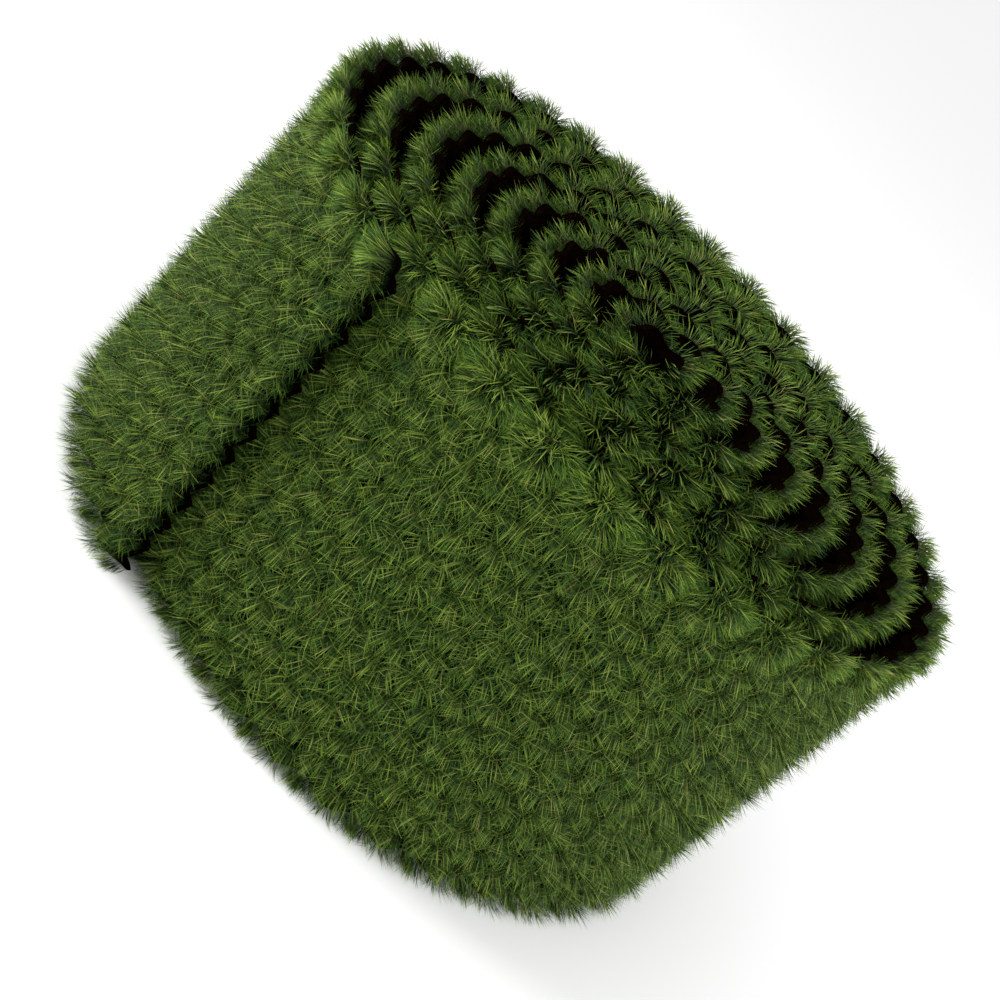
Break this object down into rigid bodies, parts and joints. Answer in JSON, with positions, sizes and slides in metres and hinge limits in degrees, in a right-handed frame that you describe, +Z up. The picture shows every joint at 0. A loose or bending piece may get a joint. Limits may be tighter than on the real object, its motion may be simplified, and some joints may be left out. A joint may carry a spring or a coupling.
{
  "type": "roll of turf",
  "caption": "Loosely coiled roll of lawn turf, grass outwards on a thin wavy mat of soil and roots, standing on its end; bulk stock to lay as lawn.",
  "frame": {"origin": "middle of the roll's footprint, at the level of the cut edges it stands on", "axes": "+Z up along the roll's axis; the outer free end lies at 239 degrees from +X about the coil's axis; +Y away from the side it is seen from"},
  "size_m": [0.7926, 0.7678, 0.4],
  "materials": {
    "soil": "matt, near-black brown felt of soil and roots",
    "grass": "matt green grass blades with a few straw-coloured ones"
  },
  "bodies": {
    "root": {"mat": "soil", "grass": "grass"}
  },
  "joints": []
}
